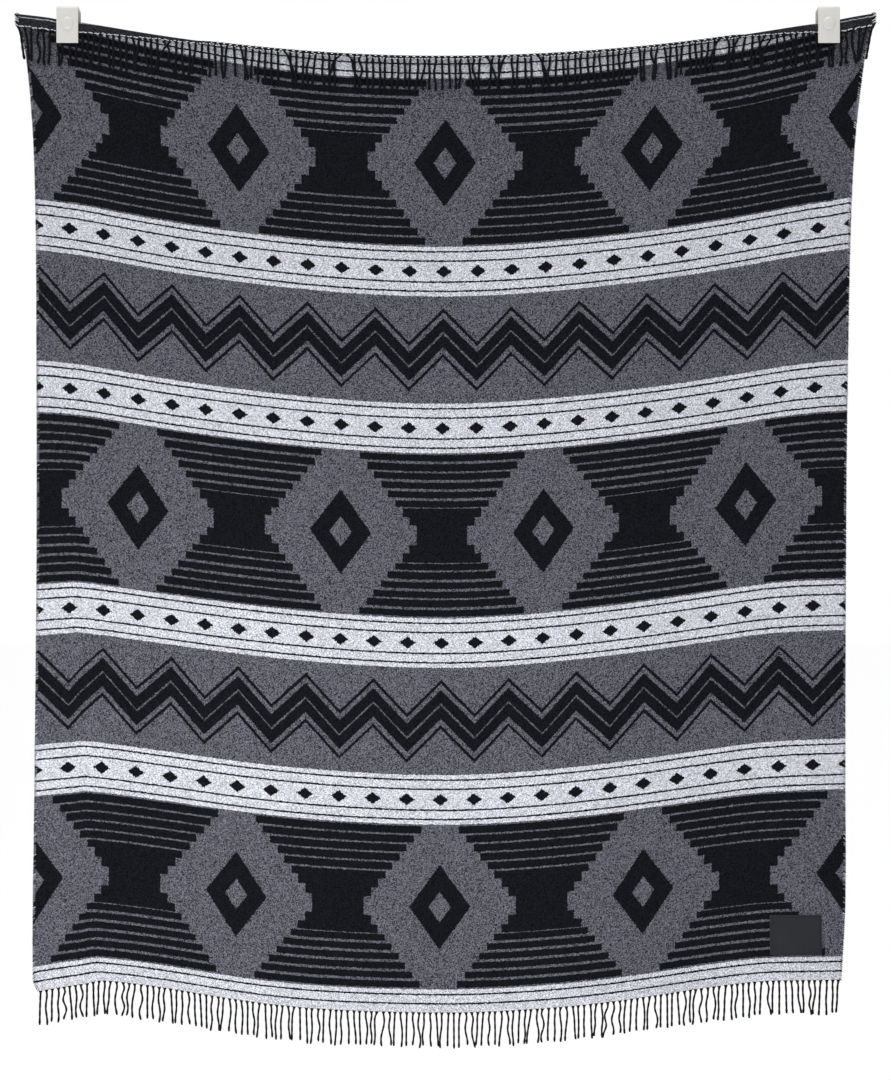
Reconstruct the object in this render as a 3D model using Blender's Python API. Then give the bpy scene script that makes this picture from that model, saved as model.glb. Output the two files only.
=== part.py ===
"""A woven throw with a twisted fringe at both ends, hung by its top corners from two spring clips.

Run it with: blender --background --python part.py
Metres, +Z up. The wall is the plane Y = 0 and the throw hangs in front of it, towards -Y.
The origin lies on the wall, midway between the two clips. Left and right are as seen from the front.
"""

import math
import random
from collections import namedtuple

import bmesh
import bpy
from mathutils import Matrix, Vector

# Woven cloth
CLOTH_THICKNESS = 0.002
CLOTH_DEPTH = -0.018  # the sheet's middle plane, in front of the wall
MIDDLE_TOP = -0.0495  # height of the folded top edge at its lowest point, midway between the clips
MIDDLE_HEIGHT = 1.4325  # from there down to the bottom hem
SAG_CENTRE = -0.008  # where the sag is deepest, a little left of the middle
RIDGE_SOFTNESS = 0.035  # how gently the sag runs out at the pull line below each clip
DROP_START = 0.3  # how gently the drop outside it sets in, as a share of that strip
COLUMNS = 34
ROWS = 30

# The top hem, turned over to the front: a deep turn at the corners, a bare roll between them
TURN_RADIUS = 0.002
TURN_STEPS = 5
TURN_CORNER = 0.0175
TURN_MIDDLE = 0.0025
TURN_START_LEFT = 0.34  # how far from the middle the turn begins to deepen
TURN_START_RIGHT = 0.42
TURN_FULL = 0.59  # and how far out it is full
TURN_POWER = 1.5

# Fringe: the warp ends, twisted in bundles
STRANDS = 136  # at each end
STRAND_WIDTH = 0.0027
STRAND_TIP_SHARE = 0.8
STRAND_LENGTH = 0.0475
STRAND_LENGTH_SPREAD = 0.003
STRAND_SWAY = 0.0026
STRAND_JITTER = 0.0007
STRAND_STEPS = 2
HEADING_HEIGHT = 0.004  # the woven strip that the strands leave
END_MARGIN = 0.0025  # plain heading outside the first and the last strand

# Sewn label, left bare
LABEL_WIDTH = 0.077
LABEL_HEIGHT = 0.060
LABEL_THICKNESS = 0.0008
LABEL_X = 0.5205
LABEL_Z = -1.364
LABEL_TILT = math.radians(0.6)
LABEL_COLUMNS = 8
LABEL_ROWS = 6
LABEL_GAP = 0.0005

# Spring clips
CLIP_SPAN = 1.140  # between the middles of the two clips
CLIP_WIDTH = 0.0325
CLIP_TOP = 0.027
CLIP_BACK_TOP = 0.024  # the top falls a little towards the wall
CLIP_BOTTOM = -0.0285
CLIP_GAUGE = 0.0024
CLIP_BEND = 0.0032  # radius of the two bends at the top, to the middle of the strip
CLIP_BEND_STEPS = 6
CLIP_HEEL = -0.012  # the back leg lies flat on the wall down to here
CLIP_PINCH = -0.0205  # and presses on the cloth here
CLIP_LIP_BACK = 0.0022
CLIP_EDGE = 0.0006
CLIP_CLEARANCE = 0.0005  # from its front leg to the fringe below it
BOSS_RADIUS = 0.0097
BOSS_PROUD = 0.0030
BOSS_SEAT = 0.0003  # how far below the face its widest ring is
BOSS_HEIGHT = 0.0012
BOSS_SIDES = 24
BOSS_RINGS = 8

GAP = 0.00035  # between touching pieces
RANDOM_SEED = 11

# How the sheet hangs, at a few levels on each side. down is the share of the height, and edge is
# where the side edge is. From the middle out to the pull line below the clip the weft rises by rise,
# as the distance to the power curve. The pull line is at ridge, a share of the half width, and from
# there out to the edge the weft drops again, or goes on rising where drop is negative.
Level = namedtuple("Level", "down edge rise ridge drop curve")
LEFT = (
    Level(0.00, -0.648, 0.058, 0.885, -0.007, 2.00),
    Level(0.05, -0.632, 0.060, 0.900, -0.007, 1.95),
    Level(0.17, -0.620, 0.069, 0.930, -0.003, 1.85),
    Level(0.37, -0.617, 0.063, 0.920, -0.002, 1.70),
    Level(0.57, -0.617, 0.057, 0.900, 0.005, 1.55),
    Level(0.78, -0.620, 0.054, 0.865, 0.010, 1.65),
    Level(0.99, -0.6225, 0.053, 0.827, 0.019, 1.89),
    Level(1.00, -0.6155, 0.053, 0.825, 0.020, 1.90),
)
RIGHT = (
    Level(0.00, 0.640, 0.055, 0.890, -0.011, 2.00),
    Level(0.05, 0.624, 0.059, 0.910, -0.009, 1.95),
    Level(0.17, 0.607, 0.070, 0.940, -0.005, 1.75),
    Level(0.37, 0.599, 0.063, 0.900, -0.003, 1.60),
    Level(0.57, 0.596, 0.057, 0.840, -0.002, 1.45),
    Level(0.78, 0.595, 0.052, 0.810, -0.003, 1.40),
    Level(0.92, 0.595, 0.0515, 0.817, -0.001, 1.40),
    Level(1.00, 0.589, 0.051, 0.820, 0.000, 1.40),
)
SAG_ROUNDING = 0.15  # keeps the sag round in the middle where curve is under 2

# Soft upright folds: where each is across the top and the bottom, its half width, and how far it
# stands out of the sheet's plane there. A negative depth is a trough, towards the wall.
Fold = namedtuple("Fold", "top_x bottom_x half_width top_depth bottom_depth")
FOLDS = (
    Fold(-0.570, -0.518, 0.060, 0.000, 0.0085),
    Fold(-0.430, -0.405, 0.080, 0.000, -0.0055),
    Fold(-0.270, -0.235, 0.105, 0.001, 0.0060),
    Fold(-0.040, -0.030, 0.120, 0.000, -0.0050),
    Fold(0.180, 0.205, 0.110, 0.001, 0.0070),
    Fold(0.400, 0.385, 0.085, 0.000, -0.0060),
    Fold(0.570, 0.535, 0.060, 0.000, 0.0060),
)

WOOL = ("wool", (0.12, 0.12, 0.135), 0.95)
YARN = ("yarn", (0.02, 0.02, 0.025), 0.9)
SATIN = ("label_satin", (0.035, 0.035, 0.042), 0.55)
PLASTIC = ("clip_plastic", (0.74, 0.73, 0.70), 0.4)


def smooth(share):
    """A smooth step from 0 to 1."""
    share = min(1.0, max(0.0, share))
    return share * share * (3 - 2 * share)


def level_value(levels, column, down):
    """A column of a table of levels at any height, on a smooth curve through its rows."""
    down = min(1.0, max(0.0, down))
    last = len(levels) - 2
    i = max(n for n in range(last + 1) if levels[n].down <= down)
    here, after = levels[i], levels[i + 1]
    before, beyond = levels[max(0, i - 1)], levels[min(last + 1, i + 2)]
    span = after.down - here.down
    a, b = getattr(here, column), getattr(after, column)
    slope_a = (b - getattr(before, column)) / (after.down - before.down) * span
    slope_b = (getattr(beyond, column) - a) / (beyond.down - here.down) * span
    t = (down - here.down) / span
    return (
        a * (1 + 2 * t) * (1 - t) ** 2
        + slope_a * t * (1 - t) ** 2
        + b * t * t * (3 - 2 * t)
        - slope_b * t * t * (1 - t)
    )


def soft_limit(value, limit):
    """The value where it is well under the limit, and the limit where it is well over it."""
    over = math.log1p(math.exp((limit - value) / RIDGE_SOFTNESS))
    return limit - RIDGE_SOFTNESS * over


def weft_rise(x, down):
    """How far the cloth at x is above the middle of its own weft line."""
    side = LEFT if x < SAG_CENTRE else RIGHT
    out = (x - SAG_CENTRE) / (level_value(side, "edge", down) - SAG_CENTRE)
    ridge = level_value(side, "ridge", down)
    curve = level_value(side, "curve", down)
    held = (soft_limit(out, ridge) - soft_limit(0, ridge)) / ridge
    climb = (held**2 + SAG_ROUNDING**2) ** (curve / 2) - SAG_ROUNDING**curve
    full = (1 + SAG_ROUNDING**2) ** (curve / 2) - SAG_ROUNDING**curve
    beyond = max(0.0, (out - ridge) / (1 - ridge))
    drop = level_value(side, "drop", down) * beyond * smooth(beyond / DROP_START)
    return level_value(side, "rise", down) * climb / full - drop


def fold_depth(x, down):
    """How far the sheet stands out towards the front at x."""
    depth = 0.0
    for fold in FOLDS:
        middle = fold.top_x + (fold.bottom_x - fold.top_x) * down
        height = fold.top_depth + (fold.bottom_depth - fold.top_depth) * down
        depth += height * math.exp(-(((x - middle) / fold.half_width) ** 2))
    return depth


def sheet_point(across, down):
    """The sheet's middle surface. across runs from the left edge to the right, down from the top."""
    left = level_value(LEFT, "edge", down)
    right = level_value(RIGHT, "edge", down)
    x = left + (right - left) * across
    z = MIDDLE_TOP - MIDDLE_HEIGHT * down + weft_rise(x, down)
    return Vector((x, CLOTH_DEPTH - fold_depth(x, down), z))


def woven_point(across, down):
    """As sheet_point, on the straight runs between the modelled columns."""
    column = min(COLUMNS - 1, int(across * COLUMNS))
    share = across * COLUMNS - column
    a = sheet_point(column / COLUMNS, down)
    b = sheet_point((column + 1) / COLUMNS, down)
    return a.lerp(b, share)


def turn_depth(x):
    """How far the top hem is turned over to the front at x."""
    start = TURN_START_LEFT if x < 0 else TURN_START_RIGHT
    share = min(1.0, max(0.0, (abs(x) - start) / (TURN_FULL - start)))
    return TURN_MIDDLE + (TURN_CORNER - TURN_MIDDLE) * share**TURN_POWER


def column_path(across):
    """One warp line, from the turned hem over the fold and down to the bottom hem."""
    top = sheet_point(across, 0)
    front = Vector((top.x, top.y - 2 * TURN_RADIUS, top.z - turn_depth(top.x)))
    path = [front]
    for step in range(TURN_STEPS + 1):
        angle = math.pi * step / TURN_STEPS
        path.append(
            Vector(
                (
                    top.x,
                    top.y - TURN_RADIUS * (1 + math.cos(angle)),
                    top.z - TURN_RADIUS * (1 - math.sin(angle)),
                )
            )
        )
    for row in range(1, ROWS + 1):
        path.append(sheet_point(across, row / ROWS))
    return path


def finish(name, mesh, material_spec):
    """Makes the named object, with its own material."""
    title, colour, roughness = material_spec
    material = bpy.data.materials.get(title) or bpy.data.materials.new(title)
    material.use_nodes = True
    shader = material.node_tree.nodes["Principled BSDF"]
    shader.inputs["Base Color"].default_value = (*colour, 1)
    shader.inputs["Roughness"].default_value = roughness
    shader.inputs["Metallic"].default_value = 0
    mesh.materials.append(material)
    mesh.shade_smooth()
    part = bpy.data.objects.new(name, mesh)
    bpy.context.scene.collection.objects.link(part)
    return part


def mesh_from(bm, name):
    """Turns a bmesh into a mesh whose faces point outwards."""
    bmesh.ops.recalc_face_normals(bm, faces=bm.faces)
    mesh = bpy.data.meshes.new(name)
    bm.to_mesh(mesh)
    bm.free()
    return mesh


def skin(bm, lines):
    """Quads between neighbouring lines of points."""
    rows = [[bm.verts.new(point) for point in line] for line in lines]
    for near, far in zip(rows, rows[1:]):
        for i in range(len(near) - 1):
            bm.faces.new((near[i], near[i + 1], far[i + 1], far[i]))
    return rows


def thicken(part, thickness, offset=0.0):
    """Gives a sheet its thickness: offset -1 keeps it as the outer face, 0 as the middle."""
    solid = part.modifiers.new("thickness", "SOLIDIFY")
    solid.thickness = thickness
    solid.offset = offset
    solid.use_even_offset = True
    return solid


def make_blanket():
    bm = bmesh.new()
    skin(bm, [column_path(i / COLUMNS) for i in range(COLUMNS + 1)])
    blanket = finish("blanket", mesh_from(bm, "blanket"), WOOL)
    thicken(blanket, CLOTH_THICKNESS)
    return blanket


def strand_places(width):
    """The shares across at which the strands leave an edge of this width, slightly uneven."""
    chance = random.Random(RANDOM_SEED)
    margin = (END_MARGIN + STRAND_WIDTH / 2) / width
    pitch = (1 - 2 * margin) / (STRANDS - 1)
    jitter = STRAND_JITTER / width
    return [
        margin + pitch * i + (chance.uniform(-jitter, jitter) if 0 < i < STRANDS - 1 else 0)
        for i in range(STRANDS)
    ]


def make_fringe(name, hem_point, lay_point, seed):
    """The heading strip and the strands fused to it.

    hem_point(across) is the middle of the cloth's edge, and lay_point(across, below) is the
    middle plane of the fringe at that distance below the edge.
    """
    chance = random.Random(seed)
    width = hem_point(1.0).x - hem_point(0.0).x
    places = strand_places(width)
    half = STRAND_WIDTH / 2
    foot = GAP + HEADING_HEIGHT
    mids = [0.0] + [(a + b) / 2 for a, b in zip(places, places[1:])] + [1.0]
    roots = [(place - half / width, place + half / width) for place in places]
    bm = bmesh.new()

    def pair(across, below):
        """A back and a front point of the strip."""
        middle = lay_point(across, below)
        return [bm.verts.new(middle + Vector((0, side * half, 0))) for side in (1, -1)]

    tops = [pair(across, GAP) for across in mids]
    left_foot, right_foot = pair(0.0, foot), pair(1.0, foot)
    feet = [(pair(left, foot), pair(right, foot)) for left, right in roots]
    corners = [left_foot] + [foot_pair for pairs in feet for foot_pair in pairs] + [right_foot]
    for side in (0, 1):
        for i, (left, right) in enumerate(feet):
            bm.faces.new((tops[i][side], left[side], right[side], tops[i + 1][side]))
            if i:
                bm.faces.new((tops[i][side], feet[i - 1][1][side], left[side]))
        bm.faces.new((tops[0][side], left_foot[side], feet[0][0][side]))
        bm.faces.new((tops[-1][side], feet[-1][1][side], right_foot[side]))
    for near, far in zip(tops, tops[1:]):
        bm.faces.new((near[0], near[1], far[1], far[0]))
    for near, far in zip(corners[::2], corners[1::2]):
        bm.faces.new((near[0], near[1], far[1], far[0]))
    for top, bottom in ((tops[0], left_foot), (tops[-1], right_foot)):
        bm.faces.new((top[0], top[1], bottom[1], bottom[0]))

    for (left, right), place in zip(feet, places):
        ring = [left[0], left[1], right[1], right[0]]
        length = STRAND_LENGTH + chance.uniform(-1, 1) * STRAND_LENGTH_SPREAD
        sway = [chance.uniform(-1, 1) * STRAND_SWAY for _ in range(STRAND_STEPS)]
        for step in range(1, STRAND_STEPS + 1):
            share = step / STRAND_STEPS
            middle = lay_point(place, foot + length * share)
            middle.x += sway[step - 1]
            size = half * (1 - (1 - STRAND_TIP_SHARE) * share)
            corners_here = ((-size, size), (-size, -size), (size, -size), (size, size))
            new_ring = [bm.verts.new(middle + Vector((dx, dy, 0))) for dx, dy in corners_here]
            for i in range(4):
                after = (i + 1) % 4
                bm.faces.new((ring[i], ring[after], new_ring[after], new_ring[i]))
            ring = new_ring
        bm.faces.new(ring)
    return finish(name, mesh_from(bm, name), YARN)


def bottom_hem(across):
    return woven_point(across, 1.0)


def below_bottom_hem(across, below):
    """The bottom fringe hangs on straight down from the hem."""
    point = bottom_hem(across)
    point.z -= below
    return point


def top_hem(across):
    """The edge of the turned hem, on the straight runs between the modelled columns."""
    column = min(COLUMNS - 1, int(across * COLUMNS))
    share = across * COLUMNS - column
    a = column_path(column / COLUMNS)[0]
    b = column_path((column + 1) / COLUMNS)[0]
    return a.lerp(b, share)


def below_top_hem(across, below):
    """The top fringe falls in front of the cloth and lies along it."""
    point = top_hem(across)
    fallen = woven_point(across, 0).z - point.z + below
    down = fallen / MIDDLE_HEIGHT
    point.y = woven_point(across, down).y - 2 * TURN_RADIUS
    point.z -= below
    return point


def make_label():
    """A flat woven label that lies on the cloth near the bottom right corner."""
    turn = Matrix.Rotation(LABEL_TILT, 2)
    bm = bmesh.new()
    lines = []
    for i in range(LABEL_COLUMNS + 1):
        line = []
        for j in range(LABEL_ROWS + 1):
            offset = turn @ Vector(
                ((i / LABEL_COLUMNS - 0.5) * LABEL_WIDTH, (0.5 - j / LABEL_ROWS) * LABEL_HEIGHT)
            )
            x, z = LABEL_X + offset.x, LABEL_Z + offset.y
            down = (MIDDLE_TOP + weft_rise(x, 1.0) - z) / MIDDLE_HEIGHT
            left = level_value(LEFT, "edge", down)
            right = level_value(RIGHT, "edge", down)
            behind = woven_point((x - left) / (right - left), down)
            line.append(Vector((x, behind.y - CLOTH_THICKNESS / 2 - LABEL_GAP, z)))
        lines.append(line)
    skin(bm, lines)
    label = finish("label", mesh_from(bm, "label"), SATIN)
    face_front(label.data)
    thicken(label, LABEL_THICKNESS, offset=1.0)
    return label


def face_front(mesh):
    """Turns an open sheet so that its faces look to the front."""
    if mesh.polygons[0].normal.y > 0:
        mesh.flip_normals()


def rounded(corners):
    """A line through the corners, with each one between its ends turned into an arc."""
    line = [corners[0]]
    for before, corner, after in zip(corners, corners[1:], corners[2:]):
        into = (corner - before).normalized()
        away = (after - corner).normalized()
        turn = into.angle(away)
        side = 1 if into.cross(away) > 0 else -1
        centre = corner + (away - into).normalized() * CLIP_BEND / math.cos(turn / 2)
        start = corner - into * CLIP_BEND * math.tan(turn / 2) - centre
        for step in range(CLIP_BEND_STEPS + 1):
            line.append(centre + Matrix.Rotation(side * turn * step / CLIP_BEND_STEPS, 2) @ start)
    return line + [corners[-1]]


def clip_profile():
    """The bent strip's middle line, as (y, z): front leg, top, wall leg, pinch and lip."""
    half = CLIP_GAUGE / 2
    front = CLOTH_DEPTH - 2 * TURN_RADIUS - STRAND_WIDTH / 2 - CLIP_CLEARANCE - half
    wall = -half
    pinch = CLOTH_DEPTH + CLOTH_THICKNESS / 2 + GAP + half
    bent = rounded(
        (
            Vector((front, CLIP_BOTTOM)),
            Vector((front, CLIP_TOP - half)),
            Vector((wall, CLIP_BACK_TOP - half)),
            Vector((wall, CLIP_HEEL)),
        )
    )
    return bent + [Vector((pinch, CLIP_PINCH)), Vector((pinch + CLIP_LIP_BACK, CLIP_BOTTOM))]


def make_boss():
    """The domed button on a clip's face, used only to add its shape to the clip."""
    front = clip_profile()[0].x - CLIP_GAUGE / 2
    bm = bmesh.new()
    bmesh.ops.create_uvsphere(
        bm,
        u_segments=BOSS_SIDES,
        v_segments=BOSS_RINGS,
        radius=1.0,
        matrix=Matrix.Rotation(math.pi / 2, 4, "X"),
    )
    for vert in bm.verts:
        x, y, z = vert.co
        reach = CLIP_GAUGE / 2 if y > 0 else BOSS_PROUD + BOSS_SEAT
        vert.co = (x * BOSS_RADIUS, front + BOSS_SEAT + y * reach, z * BOSS_RADIUS + BOSS_HEIGHT)
    boss = finish("clip_boss", mesh_from(bm, "clip_boss"), PLASTIC)
    boss.hide_render = True
    boss.display_type = "WIRE"
    return boss


def make_clip(name, x, boss):
    """A spring clip bent from one strip: the wall holds its back leg, and its legs hold the cloth."""
    bm = bmesh.new()
    line = clip_profile()
    skin(bm, [[Vector((side * CLIP_WIDTH / 2, y, z)) for y, z in line] for side in (-1, 1)])
    clip = finish(name, mesh_from(bm, name), PLASTIC)
    thicken(clip, CLIP_GAUGE)
    edges = clip.modifiers.new("edges", "BEVEL")
    edges.width = CLIP_EDGE
    edges.segments = 1
    edges.limit_method = "ANGLE"
    edges.angle_limit = math.radians(60)
    raised = clip.modifiers.new("boss", "BOOLEAN")
    raised.operation = "UNION"
    raised.object = boss
    clip.location.x = x
    return clip


def main():
    for old in list(bpy.data.objects):
        bpy.data.objects.remove(old)
    make_blanket()
    make_fringe("fringe_bottom", bottom_hem, below_bottom_hem, RANDOM_SEED + 1)
    make_fringe("fringe_top", top_hem, below_top_hem, RANDOM_SEED + 2)
    make_label()
    for name, x in (("clip_left", -CLIP_SPAN / 2), ("clip_right", CLIP_SPAN / 2)):
        boss = make_boss()
        boss.name = name + "_boss"
        boss.location.x = x
        make_clip(name, x, boss)


if __name__ == "__main__":
    main()
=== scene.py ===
"""Looks of a throw hung from two spring clips: cloth, edging, fringes, label, clips and stage."""

import math
import random
from collections import namedtuple
from functools import partial

import bpy
from bpy.props import FloatProperty, FloatVectorProperty, IntProperty, PointerProperty
from mathutils import Euler, Matrix, Vector, noise


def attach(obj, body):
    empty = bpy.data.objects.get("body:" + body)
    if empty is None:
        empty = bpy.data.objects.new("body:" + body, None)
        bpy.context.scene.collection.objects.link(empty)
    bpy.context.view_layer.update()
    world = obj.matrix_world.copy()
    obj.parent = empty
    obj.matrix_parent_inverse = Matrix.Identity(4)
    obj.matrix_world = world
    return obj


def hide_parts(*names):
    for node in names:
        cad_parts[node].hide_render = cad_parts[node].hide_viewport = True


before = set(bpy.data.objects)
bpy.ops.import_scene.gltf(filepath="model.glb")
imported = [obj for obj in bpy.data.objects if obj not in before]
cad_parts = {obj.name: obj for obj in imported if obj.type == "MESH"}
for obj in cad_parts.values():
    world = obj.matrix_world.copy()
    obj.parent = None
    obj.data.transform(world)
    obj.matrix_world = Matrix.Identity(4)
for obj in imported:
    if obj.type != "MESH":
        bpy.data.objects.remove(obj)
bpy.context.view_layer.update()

bl_info = {
    "name": "Hanging Throw",
    "version": (1, 0, 0),
    "blender": (4, 5, 0),
    "location": "View3D > Sidebar > Throw",
    "description": "Makes a woven fringed throw, the two clips that hold it and a plain studio",
    "category": "Add Mesh",
}

MM = 0.001
RANDOM_SEED = 11

# The sheet's place, as in the solid that it dresses. The wall is the plane Y = 0.
CLOTH_DEPTH = -0.018
MIDDLE_TOP = -0.0495
MIDDLE_HEIGHT = 1.4325
SAG_CENTRE = -0.008
RIDGE_SOFTNESS = 0.035
SAG_ROUNDING = 0.15
DROP_START = 0.3
TURN_RADIUS = 0.002
TURN_CORNER = 0.0175
TURN_MIDDLE = 0.0025
TURN_START_LEFT = 0.34
TURN_START_RIGHT = 0.42
TURN_FULL = 0.59
TURN_POWER = 1.5
ROLL_TAKE = (0.0025, 0.0102)  # how much cloth the roll takes up midway and near the clips
ROLL_REACH = (0.15, 0.42)  # and how far out it starts to take up more, and takes up all
LEAD_FADE = 0.17  # over this share of the height the cloth makes up for what the hem takes
CLIP_SPAN = 1.140

# How the sheet hangs at a few levels on each side: the side edge, how far the weft rises from the
# middle to the pull line under the clip, where that line is, how far the weft drops outside it, and
# the power of the rise.
Level = namedtuple("Level", "down edge rise ridge drop curve")
LEFT = (
    Level(0.00, -0.648, 0.058, 0.885, -0.007, 2.00),
    Level(0.05, -0.632, 0.060, 0.900, -0.007, 1.95),
    Level(0.17, -0.620, 0.069, 0.930, -0.003, 1.85),
    Level(0.37, -0.617, 0.063, 0.920, -0.002, 1.70),
    Level(0.57, -0.617, 0.057, 0.900, 0.005, 1.55),
    Level(0.78, -0.620, 0.054, 0.865, 0.010, 1.65),
    Level(0.99, -0.6225, 0.053, 0.827, 0.019, 1.89),
    Level(1.00, -0.6155, 0.053, 0.825, 0.020, 1.90),
)
RIGHT = (
    Level(0.00, 0.640, 0.055, 0.890, -0.011, 2.00),
    Level(0.05, 0.624, 0.059, 0.910, -0.009, 1.95),
    Level(0.17, 0.607, 0.070, 0.940, -0.005, 1.75),
    Level(0.37, 0.599, 0.063, 0.900, -0.003, 1.60),
    Level(0.57, 0.596, 0.057, 0.840, -0.002, 1.45),
    Level(0.78, 0.595, 0.052, 0.810, -0.003, 1.40),
    Level(0.92, 0.595, 0.0515, 0.817, -0.001, 1.40),
    Level(1.00, 0.589, 0.051, 0.820, 0.000, 1.40),
)

# Soft upright folds: where each is at the top and at the bottom, its half width, and how far it
# stands out there.
Fold = namedtuple("Fold", "top_x bottom_x half_width top_depth bottom_depth")
FOLDS = (
    Fold(-0.570, -0.518, 0.060, 0.000, 0.0085),
    Fold(-0.430, -0.405, 0.080, 0.000, -0.0055),
    Fold(-0.270, -0.235, 0.105, 0.001, 0.0060),
    Fold(-0.040, -0.030, 0.120, 0.000, -0.0050),
    Fold(0.180, 0.205, 0.110, 0.001, 0.0070),
    Fold(0.400, 0.385, 0.085, 0.000, -0.0060),
    Fold(0.570, 0.535, 0.060, 0.000, 0.0060),
)

# Pull creases that fan out below the clips: the clip's side, the lean from the upright towards the
# middle, in degrees, the reach, the half width and the height.
Crease = namedtuple("Crease", "side lean reach half_width height")
CREASES = (
    Crease(-1, 68, 0.42, 0.010, 0.0011),
    Crease(-1, 47, 0.36, 0.012, 0.0014),
    Crease(-1, 24, 0.45, 0.013, 0.0012),
    Crease(1, 70, 0.40, 0.010, 0.0012),
    Crease(1, 50, 0.44, 0.012, 0.0012),
    Crease(1, 27, 0.38, 0.013, 0.0014),
)
CREASE_START = 0.05  # from the clip's foot
CREASE_RISE = 0.08  # the length over which it grows
CREASE_FADE = 0.25  # and over which it fades out
PUCKER_SIZE = 0.045  # how long the cloth's shallow unevenness is
PUCKER_HEIGHT = 0.0007
PUCKER_START = -0.10  # the height below which it grows
PUCKER_RISE = 0.15

# Steps of the cloth's grid: across, up the turned hem, round the fold and down the sheet
ACROSS_STEPS = 176
HEM_STEPS = 4
ROUND_STEPS = 8
DOWN_STEPS = 188

# The woven design, in millimetres on the flat cloth
PICK = 1.3  # one step of a figure's edge
FRAY = 3.4  # how wide a strip a figure's edge wanders in
FIELD_PERIOD = 575.9
BAND_PLACE = 166.4  # from the middle of a wide field to the middle of a light band
BAND_HALF = 38.35
COLUMN_PITCH = 318.0
STEP_HEIGHT = 14.3
FIGURE_HALF = 126.4
FIGURE_WAIST = 40.0
FIGURE_SLOPE = 0.78
LINING_SHARE = 0.79  # a thin ground line runs above this share of each step
SOLID_WAIST = 42.0
LOZENGE_WIDTH = 48.0
LOZENGE_HEIGHT = 66.0
LOZENGE_HOLLOW = 0.36
ZIGZAG_HALF = 53.0
RIBBON_PLACE = 12.0  # each ribbon of the zigzag, from its middle line
RIBBON_HALF = 10.5
ECHO_PLACE = 35.0
ECHO_HALF = 3.2
NARROW_HALF = 80.0
LINE_PITCH = 14.3
LINE_FRONT = (16.25, 1.0)  # the first of two thin lines from the middle of a light band: two picks
LINE_BACK = (16.9, 0.5)  # and on the back, where the picks beside it spread over one of them
LINE_ZONE = (23.4, 10.4)
CHAIN_WIDTH = 13.0
CHAIN_HEIGHT = 9.5
CHAIN_END = 690.0
HEATHER = (1.3, 1.1, 1.0)  # one fleck of yarn


def linear(code):
    """An sRGB hex colour as linear RGBA."""
    parts = [int(code[i : i + 2], 16) / 255 for i in (1, 3, 5)]
    return (*[p / 12.92 if p <= 0.04045 else ((p + 0.055) / 1.055) ** 2.4 for p in parts], 1.0)


def smooth(share):
    """A smooth step from 0 to 1."""
    share = min(1.0, max(0.0, share))
    return share * share * (3 - 2 * share)


def size_property(name, description, metres):
    """A length that the panel shows."""
    return FloatProperty(name=name, description=description, default=metres, unit="LENGTH")


def colour_property(name, description, code):
    """A colour that the panel shows, from its sRGB hex code."""
    return FloatVectorProperty(
        name=name, description=description, subtype="COLOR", size=4, default=linear(code)
    )


class ThrowSizes(bpy.types.PropertyGroup):
    """Sizes of the throw's own pieces"""

    cloth_width: size_property("Cloth width", "Width of the flat cloth", 1.27)
    cloth_length: size_property("Cloth length", "Length of the flat cloth", 1.48)
    cloth_thickness: size_property("Cloth thickness", "With its nap", 0.002)
    strands: IntProperty(
        name="Strands", description="Twisted strands at each end", default=136, min=2
    )
    strand_width: size_property("Strand width", "Across both plies", 0.0036)
    strand_length: size_property("Strand length", "From the hem to the tip", 0.052)
    stitch_pitch: size_property("Edging pitch", "Between overlock stitches", 0.0033)
    label_width: size_property("Label width", "Width of the sewn label", 0.077)
    label_height: size_property("Label height", "Height of the sewn label", 0.060)
    clip_width: size_property("Clip width", "Width of a spring clip", 0.0325)


class ThrowColours(bpy.types.PropertyGroup):
    """Yarn, label and clip colours"""

    charcoal: colour_property("Charcoal", "Ground yarn", "#4C4C54")
    black: colour_property("Black", "Figure yarn", "#101116")
    light: colour_property("Light", "Band yarn", "#C3C5CD")
    overlock: colour_property("Overlock", "Edge thread", "#8D8F98")
    label: colour_property("Label", "Label satin", "#1A1B22")
    clip: colour_property("Clip", "Clip plastic", "#D7D5D0")


def level_value(levels, column, down):
    """A column of a table of levels at any height, on a smooth curve through its rows."""
    down = min(1.0, max(0.0, down))
    last = len(levels) - 2
    i = max(n for n in range(last + 1) if levels[n].down <= down)
    here, after = levels[i], levels[i + 1]
    before, beyond = levels[max(0, i - 1)], levels[min(last + 1, i + 2)]
    span = after.down - here.down
    a, b = getattr(here, column), getattr(after, column)
    slope_a = (b - getattr(before, column)) / (after.down - before.down) * span
    slope_b = (getattr(beyond, column) - a) / (beyond.down - here.down) * span
    t = (down - here.down) / span
    return (
        a * (1 + 2 * t) * (1 - t) ** 2
        + slope_a * t * (1 - t) ** 2
        + b * t * t * (3 - 2 * t)
        - slope_b * t * t * (1 - t)
    )


def soft_limit(value, limit):
    """The value where it is well under the limit, and the limit where it is well over it."""
    over = math.log1p(math.exp((limit - value) / RIDGE_SOFTNESS))
    return limit - RIDGE_SOFTNESS * over


def weft_rise(x, down):
    """How far the cloth at x is above the middle of its own weft line."""
    side = LEFT if x < SAG_CENTRE else RIGHT
    out = (x - SAG_CENTRE) / (level_value(side, "edge", down) - SAG_CENTRE)
    ridge = level_value(side, "ridge", down)
    curve = level_value(side, "curve", down)
    held = (soft_limit(out, ridge) - soft_limit(0, ridge)) / ridge
    climb = (held**2 + SAG_ROUNDING**2) ** (curve / 2) - SAG_ROUNDING**curve
    full = (1 + SAG_ROUNDING**2) ** (curve / 2) - SAG_ROUNDING**curve
    beyond = max(0.0, (out - ridge) / (1 - ridge))
    drop = level_value(side, "drop", down) * beyond * smooth(beyond / DROP_START)
    return level_value(side, "rise", down) * climb / full - drop


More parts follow.
